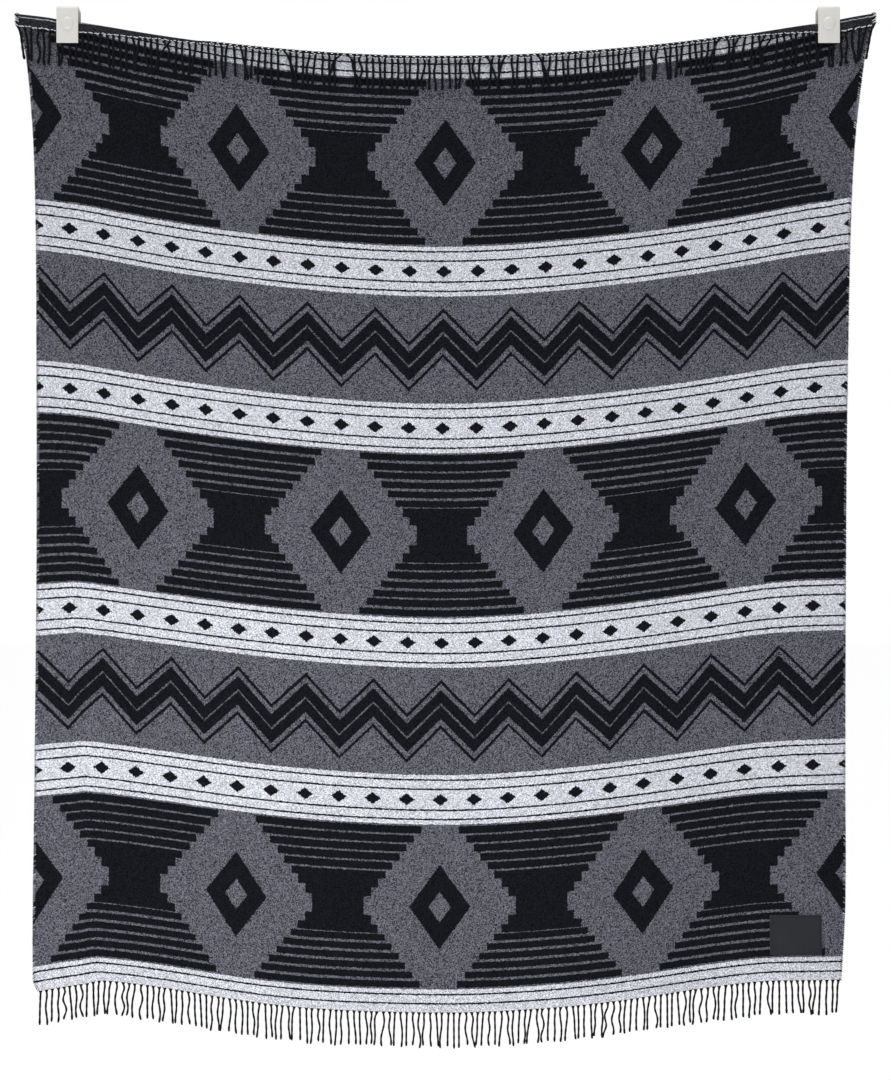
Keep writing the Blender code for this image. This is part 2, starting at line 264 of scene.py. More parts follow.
def fold_depth(x, down):
    """How far the soft folds stand out towards the front at x."""
    depth = 0.0
    for fold in FOLDS:
        middle = fold.top_x + (fold.bottom_x - fold.top_x) * down
        height = fold.top_depth + (fold.bottom_depth - fold.top_depth) * down
        depth += height * math.exp(-(((x - middle) / fold.half_width) ** 2))
    return depth


def crease_depth(x, z):
    """How far the pull creases and the shallow unevenness stand out at a place on the sheet."""
    depth = 0.0
    for crease in CREASES:
        lean = math.radians(crease.lean)
        run = Vector((-crease.side * math.sin(lean), -math.cos(lean)))
        here = Vector((x - crease.side * CLIP_SPAN / 2, z))
        along = here.dot(run)
        aside = here.x * run.y - here.y * run.x
        fade = smooth((along - CREASE_START) / CREASE_RISE)
        fade *= smooth((crease.reach - along) / CREASE_FADE)
        depth += crease.height * fade * math.exp(-((aside / crease.half_width) ** 2))
    spot = Vector((x, 0, z)) / PUCKER_SIZE
    calm = smooth((PUCKER_START - z) / PUCKER_RISE)
    return depth + PUCKER_HEIGHT * calm * noise.noise(spot)


def sheet_point(across, down):
    """The sheet's middle surface. across runs from the left edge to the right, down from the top."""
    left = level_value(LEFT, "edge", down)
    right = level_value(RIGHT, "edge", down)
    x = left + (right - left) * across
    z = MIDDLE_TOP - MIDDLE_HEIGHT * down + weft_rise(x, down)
    return Vector((x, CLOTH_DEPTH - fold_depth(x, down) - crease_depth(x, z), z))


def turn_depth(x):
    """How far the top hem is turned over to the front at x."""
    start = TURN_START_LEFT if x < 0 else TURN_START_RIGHT
    share = min(1.0, max(0.0, (abs(x) - start) / (TURN_FULL - start)))
    return TURN_MIDDLE + (TURN_CORNER - TURN_MIDDLE) * share**TURN_POWER


def roll_take(x):
    """How much of the flat cloth the roll at the top takes up at x."""
    share = smooth((abs(x) - ROLL_REACH[0]) / (ROLL_REACH[1] - ROLL_REACH[0]))
    return ROLL_TAKE[0] + (ROLL_TAKE[1] - ROLL_TAKE[0]) * share


def warp_line(across, length):
    """One warp line from the turned hem to the bottom: each point with its distance on the flat cloth."""
    top = sheet_point(across, 0)
    turn = turn_depth(top.x)
    take = roll_take(top.x)
    line = []
    for step in range(HEM_STEPS):
        share = step / HEM_STEPS
        fall = TURN_RADIUS + (turn - TURN_RADIUS) * (1 - share)
        line.append((top - Vector((0, 2 * TURN_RADIUS, fall)), turn * share))
    for step in range(ROUND_STEPS):
        share = step / ROUND_STEPS
        out = TURN_RADIUS * (1 + math.cos(math.pi * share))
        fall = TURN_RADIUS * (1 - math.sin(math.pi * share))
        line.append((top - Vector((0, out, fall)), turn + take * share))
    for step in range(DOWN_STEPS + 1):
        down = step / DOWN_STEPS
        point = sheet_point(across, down)
        if step == 0:
            point.z -= TURN_RADIUS
        lead = (turn + take) * (1 - smooth(down / LEAD_FADE))
        line.append((point, down * length + lead))
    return line


def begin(adding, **settings):
    """Deselects everything, then adds a primitive."""
    bpy.ops.object.select_all(action="DESELECT")
    adding(**settings)
    return bpy.context.object


def apply_modifier(piece, kind, **settings):
    """Gives a piece a modifier and applies it."""
    modifier = piece.modifiers.new(kind.lower(), kind)
    for key, value in settings.items():
        setattr(modifier, key, value)
    bpy.context.view_layer.objects.active = piece
    bpy.ops.object.modifier_apply(modifier=modifier.name)


def select_only(pieces):
    """Selects these pieces alone, with the first one active."""
    bpy.ops.object.select_all(action="DESELECT")
    for piece in pieces:
        piece.select_set(True)
    bpy.context.view_layer.objects.active = pieces[0]


def join_pieces(pieces, name):
    """Joins pieces into one named object whose place is in its mesh."""
    select_only(pieces)
    bpy.ops.object.join()
    bpy.ops.object.transform_apply(location=True, rotation=True, scale=True)
    joined = bpy.context.object
    joined.name = joined.data.name = name
    return joined


def copy_piece(piece, matrix=None):
    """A copy of a piece with its own mesh."""
    twin = piece.copy()
    twin.data = piece.data.copy()
    if matrix is not None:
        twin.matrix_world = matrix
    bpy.context.scene.collection.objects.link(twin)
    return twin


def select_points(piece, wanted):
    """In edit mode, selects the points for which wanted(place) is true."""
    bpy.ops.mesh.select_all(action="DESELECT")
    bpy.ops.object.mode_set(mode="OBJECT")
    for point in piece.data.vertices:
        point.select = wanted(point.co)
    bpy.ops.object.mode_set(mode="EDIT")


def finish_piece(piece, slot, *materials):
    """Gives the piece its materials and makes it ride with the part."""
    piece.data.materials.clear()
    for material in materials:
        piece.data.materials.append(material)
    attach(piece, "root")


def add_node(tree, kind, links=None, output=0, **settings):
    """Adds a node with its links or input values and its settings, and returns one of its outputs."""
    node = tree.nodes.new(kind)
    for key, value in settings.items():
        setattr(node, key, value)
    for key, value in (links or {}).items():
        if isinstance(value, bpy.types.NodeSocket):
            tree.links.new(value, node.inputs[key])
        else:
            node.inputs[key].default_value = value
    return node.outputs[output] if len(node.outputs) else node


def make_material(name, recipe, *values):
    """A material whose recipe adds its nodes and returns what feeds its surface."""
    material = bpy.data.materials.new(name)
    material.use_nodes = True
    material.node_tree.nodes.clear()
    add = partial(add_node, material.node_tree)
    surface = add("ShaderNodeBsdfPrincipled", recipe(add, *values))
    add("ShaderNodeOutputMaterial", {"Surface": surface})
    return material


MATH = "ShaderNodeMath"
VECTOR = "ShaderNodeVectorMath"
MIX = "ShaderNodeMix"  # for colours its inputs are 0, 6 and 7 and its output 2
NOISE = "ShaderNodeTexNoise"
RANGE = "ShaderNodeMapRange"


def woven_masks(add, flat, line):
    """Where the light bands and the dark figures are, from places on the flat cloth in millimetres."""
    fray = add(NOISE, {"Vector": flat, "Scale": 0.35, "Detail": 2.0}, "Color")
    fray = add(VECTOR, {0: fray, 1: (0.5, 0.5, 0.5)}, operation="SUBTRACT")
    moved = add(VECTOR, {0: fray, 1: (FRAY, FRAY, 0), 2: flat}, operation="MULTIPLY_ADD")
    picks = add(VECTOR, {0: moved, 1: (PICK, PICK, 1)}, operation="SNAP")
    x = add("ShaderNodeSeparateXYZ", {0: picks})
    y = x.node.outputs[1]

    half = FIELD_PERIOD / 2
    from_narrow = add(MATH, {0: y, 1: half}, operation="ADD")
    from_narrow = add(MATH, {0: from_narrow, 1: half, 2: -half}, operation="WRAP")
    off_narrow = add(MATH, {0: from_narrow}, operation="ABSOLUTE")
    off_wide = add(MATH, {0: half, 1: off_narrow}, operation="SUBTRACT")
    off_wide = add(MATH, {0: off_wide}, operation="ABSOLUTE")
    off_band = add(MATH, {0: off_wide, 1: BAND_PLACE}, operation="SUBTRACT")
    off_band = add(MATH, {0: off_band}, operation="ABSOLUTE")
    light = add(MATH, {0: off_band, 1: BAND_HALF}, operation="LESS_THAN")

    # The outer wide fields have their columns half a pitch aside
    off_middle = add(MATH, {0: y}, operation="ABSOLUTE")
    far = add(MATH, {0: off_middle, 1: half}, operation="GREATER_THAN")
    aside = COLUMN_PITCH / 2
    column = add(MATH, {0: far, 1: -aside, 2: x}, operation="MULTIPLY_ADD")
    column = add(MATH, {0: column, 1: aside, 2: -aside}, operation="WRAP")
    off_column = add(MATH, {0: column}, operation="ABSOLUTE")

    # Stepped hourglasses, lined with thin ground lines outside their waist
    step = add(MATH, {0: off_wide, 1: STEP_HEIGHT}, operation="SNAP")
    reach = add(MATH, {0: step, 1: FIGURE_SLOPE, 2: FIGURE_WAIST}, operation="MULTIPLY_ADD")
    glass = add(MATH, {0: off_column, 1: reach}, operation="LESS_THAN")
    inside = add(MATH, {0: off_wide, 1: FIGURE_HALF}, operation="LESS_THAN")
    glass = add(MATH, {0: glass, 1: inside}, operation="MULTIPLY")
    lining = add(MATH, {0: off_wide, 1: STEP_HEIGHT}, operation="MODULO")
    lining = add(MATH, {0: lining, 1: STEP_HEIGHT * LINING_SHARE}, operation="GREATER_THAN")
    outside = add(MATH, {0: off_wide, 1: SOLID_WAIST}, operation="GREATER_THAN")
    lining = add(MATH, {0: lining, 1: outside}, operation="MULTIPLY")
    glass = add(MATH, {0: glass, 1: lining}, operation="SUBTRACT", use_clamp=True)

    # Hollow lozenges between them
    between = add(MATH, {0: aside, 1: off_column}, operation="SUBTRACT")
    between = add(MATH, {0: between, 1: LOZENGE_WIDTH}, operation="DIVIDE")
    lozenge = add(MATH, {0: off_wide, 1: LOZENGE_HEIGHT}, operation="DIVIDE")
    lozenge = add(MATH, {0: lozenge, 1: between}, operation="ADD")
    hollow = add(MATH, {0: lozenge, 1: LOZENGE_HOLLOW}, operation="GREATER_THAN")
    lozenge = add(MATH, {0: lozenge, 1: 1.0}, operation="LESS_THAN")
    lozenge = add(MATH, {0: lozenge, 1: hollow}, operation="MULTIPLY")

    # A running zigzag with its thin middle line and two echo lines, in the narrow fields
    wave = add(MATH, {0: x, 1: ZIGZAG_HALF}, operation="PINGPONG")
    wave = add(MATH, {0: wave, 1: ZIGZAG_HALF / 2}, operation="SUBTRACT")
    off_wave = add(MATH, {0: from_narrow, 1: wave}, operation="SUBTRACT")
    off_wave = add(MATH, {0: off_wave}, operation="ABSOLUTE")
    ribbon = add(MATH, {0: off_wave, 1: RIBBON_PLACE, 2: RIBBON_HALF}, operation="COMPARE")
    echo = add(MATH, {0: off_wave, 1: ECHO_PLACE, 2: ECHO_HALF}, operation="COMPARE")
    zigzag = add(MATH, {0: ribbon, 1: echo}, operation="MAXIMUM")
    narrow = add(MATH, {0: off_narrow, 1: NARROW_HALF}, operation="LESS_THAN")
    zigzag = add(MATH, {0: zigzag, 1: narrow}, operation="MULTIPLY")

    # Two thin lines on each side of the light band, and a chain of small lozenges between them
    lines = add(MATH, {0: off_band, 1: line[0]}, operation="SUBTRACT")
    lines = add(MATH, {0: lines, 1: LINE_PITCH / 2, 2: -LINE_PITCH / 2}, operation="WRAP")
    lines = add(MATH, {0: lines, 1: 0.0, 2: line[1]}, operation="COMPARE")
    zone = add(MATH, {0: off_band, 1: LINE_ZONE[0], 2: LINE_ZONE[1]}, operation="COMPARE")
    lines = add(MATH, {0: lines, 1: zone}, operation="MULTIPLY")
    chain = add(MATH, {0: x, 1: ZIGZAG_HALF / 2}, operation="PINGPONG")
    chain = add(MATH, {0: chain, 1: CHAIN_WIDTH}, operation="DIVIDE")
    chain = add(MATH, {0: off_band, 1: 1 / CHAIN_HEIGHT, 2: chain}, operation="MULTIPLY_ADD")
    chain = add(MATH, {0: chain, 1: 1.0}, operation="LESS_THAN")
    inner = add(MATH, {0: off_middle, 1: CHAIN_END}, operation="LESS_THAN")
    chain = add(MATH, {0: chain, 1: inner}, operation="MULTIPLY")

    dark = glass
    for figure in (lozenge, zigzag, lines, chain):
        dark = add(MATH, {0: dark, 1: figure}, operation="MAXIMUM")
    return light, dark


def jacquard_wool(add, ground, band, figure, line):
    """Double-faced wool cloth with a raised nap: heathered yarn flecks, soft figure edges, no shine.

    ground, band and figure are pairs of yarn colours, the darker and the lighter fleck of each.
    """
    sizes = bpy.context.scene.throw_sizes
    weave = add("ShaderNodeUVMap", uv_map="Weave")
    flat = add(VECTOR, {0: weave, "Scale": 1 / MM}, operation="SCALE")
    centre = (-sizes.cloth_width / 2 / MM, -sizes.cloth_length / 2 / MM, 0)
    flat = add(VECTOR, {0: flat, 1: centre}, operation="ADD")
    light, dark = woven_masks(add, flat, line)

    shades = []
    for fleck in (0, 1):
        shade = add(MIX, {0: light, 6: ground[fleck], 7: band[fleck]}, 2, data_type="RGBA")
        shades.append(add(MIX, {0: dark, 6: shade, 7: figure[fleck]}, 2, data_type="RGBA"))
    cell = add(VECTOR, {0: flat, 1: HEATHER}, operation="SNAP")
    fleck = add("ShaderNodeTexWhiteNoise", {"Vector": cell}, noise_dimensions="2D")
    cloud = add(NOISE, {"Vector": flat, "Scale": 0.4, "Detail": 3.0, "Roughness": 0.8})
    heather = add(MIX, {0: 0.45, 2: fleck, 3: cloud}, data_type="FLOAT")
    heather = add(RANGE, {"Value": heather, "From Min": 0.26, "From Max": 0.76})
    colour = add(MIX, {0: heather, 6: shades[0], 7: shades[1]}, 2, data_type="RGBA")

    nap = add(NOISE, {"Vector": flat, "Scale": 0.9, "Detail": 4.0, "Roughness": 0.65})
    picks = add(VECTOR, {0: flat, "Scale": 2 * math.pi / PICK}, operation="SCALE")
    picks = add("ShaderNodeSeparateXYZ", {0: picks})
    rib = add(MATH, {0: picks}, operation="SINE")
    row = add(MATH, {0: picks.node.outputs[1]}, operation="SINE")
    rib = add(MATH, {0: rib, 1: row, 2: nap}, operation="MULTIPLY_ADD")
    return {
        "Base Color": colour,
        "Roughness": 0.95,
        "Specular IOR Level": 0.05,
        "Sheen Weight": 0.02,
        "Sheen Roughness": 0.6,
        "Normal": add("ShaderNodeBump", {"Height": rib, "Strength": 0.5, "Distance": 0.35 * MM}),
    }


def yarn(add, colour, fibre_scale=700.0, roughness=0.9):
    """Twisted wool yarn: fine fibres that catch little light."""
    place = add("ShaderNodeTexCoord", output="Object")
    fibre = add(NOISE, {"Vector": place, "Scale": fibre_scale, "Detail": 3.0})
    tint = add(RANGE, {"Value": fibre, "To Min": 0.65, "To Max": 1.5})
    return {
        "Base Color": add(VECTOR, {0: colour[:3], "Scale": tint}, operation="SCALE"),
        "Roughness": roughness,
        "Specular IOR Level": 0.08,
        "Sheen Weight": 0.02,
        "Normal": add("ShaderNodeBump", {"Height": fibre, "Strength": 0.5, "Distance": 0.2 * MM}),
    }


def satin(add, colour):
    """Woven polyester satin: fine warp floats that give a soft sideways gleam."""
    place = add("ShaderNodeTexCoord", output="Object")
    floats = add("ShaderNodeMapping", {"Vector": place, "Scale": (2600.0, 1.0, 500.0)})
    grain = add(NOISE, {"Vector": floats, "Scale": 1.0, "Detail": 1.0})
    cloud = add(NOISE, {"Vector": place, "Scale": 28.0, "Detail": 2.0})
    tint = add(MATH, {0: grain, 1: 0.5, 2: 0.55}, operation="MULTIPLY_ADD")
    tint = add(MATH, {0: cloud, 1: 0.4, 2: tint}, operation="MULTIPLY_ADD")
    return {
        "Base Color": add(VECTOR, {0: colour[:3], "Scale": tint}, operation="SCALE"),
        "Roughness": 0.55,
        "Specular IOR Level": 0.25,
        "Sheen Weight": 0.05,
        "Normal": add("ShaderNodeBump", {"Height": grain, "Strength": 0.3, "Distance": 0.15 * MM}),
    }


def moulded_abs(add, colour):
    """Injection-moulded ABS: an even warm white with a fine spark-eroded texture and a soft gloss."""
    place = add("ShaderNodeTexCoord", output="Object")
    grit = add(NOISE, {"Vector": place, "Scale": 1800.0, "Detail": 2.0})
    cloud = add(NOISE, {"Vector": place, "Scale": 60.0, "Detail": 3.0})
    tint = add(RANGE, {"Value": cloud, "To Min": 0.96, "To Max": 1.03})
    return {
        "Base Color": add(VECTOR, {0: colour[:3], "Scale": tint}, operation="SCALE"),
        "Roughness": add(RANGE, {"Value": cloud, "To Min": 0.36, "To Max": 0.5}),
        "IOR": 1.54,
        "Normal": add("ShaderNodeBump", {"Height": grit, "Strength": 0.15, "Distance": 0.05 * MM}),
    }


def matte_paint(add):
    """Pale emulsion on a smooth floor: no gloss."""
    return {"Base Color": linear("#FAFAFA"), "Roughness": 0.9}


def tones(colour, darker, lighter):
    """The darker and the lighter fleck of a heathered yarn."""
    return tuple((*[c * share for c in colour[:3]], 1.0) for share in (darker, lighter))


class OBJECT_OT_throw_cloth(bpy.types.Operator):
    """Make the woven cloth with its turned top hem"""

    bl_idname = "object.throw_cloth"
    bl_label = "Woven Cloth"

    def execute(self, context):
        sizes, colours = context.scene.throw_sizes, context.scene.throw_colours
        rows = HEM_STEPS + ROUND_STEPS + DOWN_STEPS
        cloth = begin(
            bpy.ops.mesh.primitive_grid_add,
            x_subdivisions=ACROSS_STEPS,
            y_subdivisions=rows,
            size=1.0,
            calc_uvs=True,
        )
        cloth.name = cloth.data.name = "woven_cloth"
        lines = [warp_line(i / ACROSS_STEPS, sizes.cloth_length) for i in range(ACROSS_STEPS + 1)]
        weave = cloth.data.uv_layers[0]
        weave.name = "Weave"
        flat = []
        for point in cloth.data.vertices:
            column = round((point.co.x + 0.5) * ACROSS_STEPS)
            row = round((0.5 - point.co.y) * rows)
            place, distance = lines[column][row]
            point.co = place
            flat.append((column / ACROSS_STEPS * sizes.cloth_width, distance))
        for corner in cloth.data.loops:
            weave.uv[corner.index].vector = flat[corner.vertex_index]
        front = make_material(
            "double_faced_wool_front",
            jacquard_wool,
            tones(colours.charcoal, 0.05, 2.60),
            tones(colours.light, 0.50, 1.55),
            tones(colours.black, 0.10, 2.00),
            LINE_FRONT,
        )
        back = make_material(
            "double_faced_wool_back",
            jacquard_wool,
            tones(colours.charcoal, 0.8, 2.9),
            tones(colours.charcoal, 0.02, 0.60),
            tones(colours.light, 0.6, 1.0),
            LINE_BACK,
        )
        edge = make_material("cut_wool_edge", yarn, colours.charcoal)
        finish_piece(cloth, "wool", front, back, edge)
        apply_modifier(
            cloth,
            "SOLIDIFY",
            thickness=sizes.cloth_thickness,
            offset=0.0,
            use_even_offset=True,
            material_offset=1,
            material_offset_rim=2,
        )
        bpy.ops.object.shade_smooth_by_angle(angle=math.radians(40))
        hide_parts("blanket")
        return {"FINISHED"}


STRAND_MARGIN = 0.0025  # from a side edge to the first strand
STRAND_JITTER = 0.0007


def strand_places(count, width, strand_width):
    """The shares across at which the strands leave a hem of this width, slightly uneven."""
    chance = random.Random(RANDOM_SEED)
    margin = (STRAND_MARGIN + strand_width / 2) / width
    pitch = (1 - 2 * margin) / (count - 1)
    jitter = STRAND_JITTER / width
    return [
        margin + pitch * i + (chance.uniform(-jitter, jitter) if 0 < i < count - 1 else 0)
        for i in range(count)
    ]


def bottom_root(across):
    """Where a bottom strand starts."""
    return sheet_point(across, 1.0)


def hem_edge(across):
    """The turned hem's cut edge."""
    top = sheet_point(across, 0)
    return top - Vector((0, 2 * TURN_RADIUS, turn_depth(top.x)))


def top_root(across):
    """Where a top strand starts: the cut edge, or the fold itself where little is turned."""
    root = hem_edge(across)
    bare = smooth((2 * TURN_MIDDLE - turn_depth(root.x)) / TURN_MIDDLE)
    root.z += (TURN_MIDDLE + ROOT_DROP) * bare
    return root


# How the strands of each end hang: how much wider than the model they are drawn, which at the top is
# painted shadow, the strands' shadows on the cloth drawn as extra width of the dark strands, the spread
# of their tips, of their side swings and of their lift off the cloth, the share that lies far aslant, and
# how far the outermost tips turn inwards
Hang = namedtuple("Hang", "name node root_at girth lean swing lift aslant gather")
BOTTOM_HANG = Hang(
    "fringe_twists_bottom", "fringe_bottom", bottom_root, 1.0, 0.0020, 0.0009, 0.0004, 0.0, 0.0
)
# The top strands are drawn 1.25 times wider: painted shadow, their shadows on the cloth drawn as wider
# dark strands
TOP_HANG = Hang(
    "fringe_twists_top", "fringe_top", top_root, 1.25, 0.0028, 0.0011, 0.0005, 0.11, 0.0105
)
GATHER_REACH = 4  # strands from each corner
STRAND_SIDES = 6
STRAND_RINGS = 13
STRAND_TURN = math.radians(60)  # from one ring to the next
STRAND_FLATNESS = 0.78  # of its section
STRAND_SHARES = (0.94, 1.04)  # of the mean length
STRAND_WAVES = (1.0, 3.4)  # half waves of its side swing
ASLANT_LEAN = (0.012, 0.026)
ASLANT_LIFT = 0.0017  # what lifts such a strand over its neighbours
LEAN_POWER = 0.8
ROOT_FLARE = (0.9, 0.10)  # how much wider a strand starts, and over which share it narrows
TIP_SWELL = 0.18  # how much wider its tip is
TIP_START = (0.90, 0.04)  # where the tip starts to swell, and over which share
TIP_CLOSE = (0.95, 0.05, 1.3)  # where it closes again, over which share, and how far
FREE_SHARE = 0.2  # over this share of its length the hem lets go of a strand
ROOT_DROP = 0.0022  # how far below the hem's edge a strand is drawn together
ROOT_THREAD = 0.0005  # radius of the drawn warp ends that join the roots
ROOT_POWER = 0.6  # how round their scallops are
ROOT_STEPS = 6


def make_strand(width, length):
    """One twisted strand, straight down from the origin, turned as it is drawn out ring by ring."""
    strand = begin(
        bpy.ops.mesh.primitive_circle_add,
        vertices=STRAND_SIDES,
        radius=width / 2,
        fill_type="NGON",
    )
    bpy.ops.object.mode_set(mode="EDIT")
    bpy.ops.transform.resize(value=(1.0, STRAND_FLATNESS, 1.0))
    bpy.ops.mesh.select_all(action="SELECT")
    step = (0, 0, -length / STRAND_RINGS)
    for _ in range(STRAND_RINGS):
        bpy.ops.mesh.extrude_region_move(TRANSFORM_OT_translate={"value": step})
        bpy.ops.transform.rotate(value=STRAND_TURN, orient_axis="Z", center_override=(0, 0, 0))
    bpy.ops.mesh.select_all(action="SELECT")
    bpy.ops.mesh.normals_make_consistent(inside=False)
    bpy.ops.object.mode_set(mode="OBJECT")
    bpy.ops.object.shade_smooth()
    return strand


def lay_strand(strand, root, girth, length, lean, swing, waves, phase, lift):
    """Moves a straight strand to its root and lets it hang with its own lean and swing."""
    full = min(point.co.z for point in strand.data.vertices)
    for point in strand.data.vertices:
        share = point.co.z / full
        flare = ROOT_FLARE[0] * (1 - smooth(share / ROOT_FLARE[1]))
        tip = smooth((share - TIP_START[0]) / TIP_START[1])
        tip -= TIP_CLOSE[2] * smooth((share - TIP_CLOSE[0]) / TIP_CLOSE[1])
        size = 1 + flare + TIP_SWELL * tip
        free = smooth(share / FREE_SHARE)
        aside = lean * share**LEAN_POWER * free
        aside += swing * free * math.sin(math.pi * (waves * share + phase))
        place = Vector(root)
        # A girth over 1 widens the strand across: painted shadow, the extra width stands in for its
        # shadow on the cloth
        place.x += point.co.x * size * girth + aside
        place.y += point.co.y * (1 + TIP_SWELL * tip) - lift * free
        place.z -= math.sqrt(max(length**2 - lean**2, 0)) * share
        point.co = place


def root_line(hang, places):
    """The warp ends that are drawn together into the strands: a fine scalloped line along the hem."""
    curve = bpy.data.curves.new("roots", "CURVE")
    curve.dimensions = "3D"
    curve.bevel_depth = ROOT_THREAD
    curve.bevel_resolution = 1
    curve.use_fill_caps = True
    points = []
    for near, far in zip(places, places[1:]):
        for step in range(ROOT_STEPS):
            share = step / ROOT_STEPS
            place = hang.root_at(near + (far - near) * share)
            place.z -= ROOT_DROP * (1 - math.sin(math.pi * share) ** ROOT_POWER)
            points.append(place)
    spline = curve.splines.new("POLY")
    spline.points.add(len(points) - 1)
    for point, place in zip(spline.points, points):
        point.co = (*place, 1)
    line = bpy.data.objects.new("roots", curve)
    bpy.context.scene.collection.objects.link(line)
    select_only([line])
    bpy.ops.object.convert(target="MESH")
    line.data.materials.clear()
    return line


class OBJECT_OT_throw_fringes(bpy.types.Operator):
    """Make the twisted fringe at each end"""

    bl_idname = "object.throw_fringes"
    bl_label = "Fringes"

    def execute(self, context):
        sizes, colours = context.scene.throw_sizes, context.scene.throw_colours
        black_yarn = make_material("twisted_black_yarn", yarn, colours.black)
        for end, hang in enumerate((BOTTOM_HANG, TOP_HANG)):
            chance = random.Random(RANDOM_SEED + 1 + end)
            width = hang.root_at(1.0).x - hang.root_at(0.0).x
            places = strand_places(sizes.strands, width, sizes.strand_width)
            model = make_strand(sizes.strand_width, sizes.strand_length)
            strands = []
            for number, across in enumerate(places):
                strand = copy_piece(model)
                length = sizes.strand_length * chance.uniform(*STRAND_SHARES)
                lean = chance.gauss(0, hang.lean)
                lift = chance.gauss(0, hang.lift)
                from_corner = min(number, len(places) - 1 - number)
                inwards = 1 if across < 0.5 else -1
                lean += inwards * hang.gather * max(0, 1 - from_corner / GATHER_REACH)
                if from_corner > GATHER_REACH and chance.random() < hang.aslant:
                    lean = chance.choice((-1, 1)) * chance.uniform(*ASLANT_LEAN)
                    lift = ASLANT_LIFT
                lay_strand(
                    strand,
                    hang.root_at(across),
                    hang.girth,
                    length,
                    lean,
                    chance.gauss(0, hang.swing),
                    chance.uniform(*STRAND_WAVES),
                    chance.uniform(0, 2),
                    lift,
                )
                strands.append(strand)
            bpy.data.objects.remove(model)
            fringe = join_pieces([*strands, root_line(hang, places)], hang.name)
            finish_piece(fringe, "yarn", black_yarn)
            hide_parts(hang.node)
        return {"FINISHED"}


PICK_LENGTH = 0.0042
PICK_WIDTH = 0.0016
PICK_FLATNESS = 0.8
PICK_PLACES = (0.3, 0.72)  # from one strand to the next
PICK_STRAY = 0.08
PICK_LEAN = 0.22
PICK_SIZES = (0.75, 1.0)
PICK_GAIN = 0.15  # how much larger they are where the hem is fully turned
PICK_PROUD = 0.0010
PICK_RISE = (-0.0006, 0.0010)


def thread_bit(length, width):
    """A short rounded length of thread along X."""
    bit = begin(bpy.ops.mesh.primitive_uv_sphere_add, segments=6, ring_count=6, radius=width / 2)
    bpy.ops.object.mode_set(mode="EDIT")
    bpy.ops.transform.rotate(value=math.pi / 2, orient_axis="Y", center_override=(0, 0, 0))
    stretch = (length - width) / 2
    for side in (-1, 1):
        select_points(bit, lambda place, side=side: place.x * side > width * 0.05)
        bpy.ops.transform.translate(value=(side * stretch, 0, 0))
    bpy.ops.object.mode_set(mode="OBJECT")
    bpy.ops.object.shade_smooth()
    return bit


class OBJECT_OT_throw_hem_picks(bpy.types.Operator):
    """Make the light weft bits that show between the roots of the top fringe"""

    bl_idname = "object.throw_hem_picks"
    bl_label = "Hem Picks"

    def execute(self, context):
        sizes, colours = context.scene.throw_sizes, context.scene.throw_colours
        width = top_root(1.0).x - top_root(0.0).x
        places = strand_places(sizes.strands, width, sizes.strand_width)
        chance = random.Random(RANDOM_SEED + 5)
        model = thread_bit(PICK_LENGTH, PICK_WIDTH)
        bits = []
        for near, far in zip(places, places[1:]):
            a, b = hem_edge(near), hem_edge(far)
            along = (b - a).normalized()
            full = (turn_depth(a.x) - TURN_MIDDLE) / (TURN_CORNER - TURN_MIDDLE)
            for part in PICK_PLACES:
                lean = Euler((0, -math.atan2(along.z, along.x) + chance.gauss(0, PICK_LEAN), 0))
                size = chance.uniform(*PICK_SIZES) + PICK_GAIN * full
                place = a.lerp(b, part + chance.uniform(-PICK_STRAY, PICK_STRAY))
                place += Vector((0, -PICK_PROUD, chance.uniform(*PICK_RISE)))
                matrix = Matrix.Translation(place) @ lean.to_matrix().to_4x4()
                matrix @= Matrix.Diagonal((size, PICK_FLATNESS, size, 1))
                bits.append(copy_piece(model, matrix))
        bpy.data.objects.remove(model)
        picks = join_pieces(bits, "hem_picks")
        finish_piece(picks, "wool", make_material("light_wool_weft", yarn, colours.light))
        return {"FINISHED"}


LOOP_RADIUS = 0.0023
LOOP_THREAD = 0.00052
LOOP_SHAPE = (1.25, 0.66, 1.0)
LOOP_TILT = 0.6
LOOP_DEPTH = (0.0013, 0.0019)  # how far in from the edge a loop's middle is
DARK_SHARE = 0.4
LIGHT_SHARE = 0.12  # of the loops that aren't dark
HEM_LOOP_SIZE = 1.3  # the loops over the turned hem's ends, against those further down


def edge_frames(side, length, pitch):
    """Places every pitch along a side edge, each with its outward, through and along directions."""
    line = [place for place, _ in warp_line(0.0 if side < 0 else 1.0, length)]
    frames, carry = [], pitch / 2
    for a, b in zip(line, line[1:]):
        run = b - a
        while carry < run.length:
            along = run.normalized()
            out = Vector((side, 0, 0))
            through = along.cross(out).normalized()
            out = through.cross(along)
            frames.append((a + along * carry, out, through, along))
            carry += pitch
        carry -= run.length
    return frames


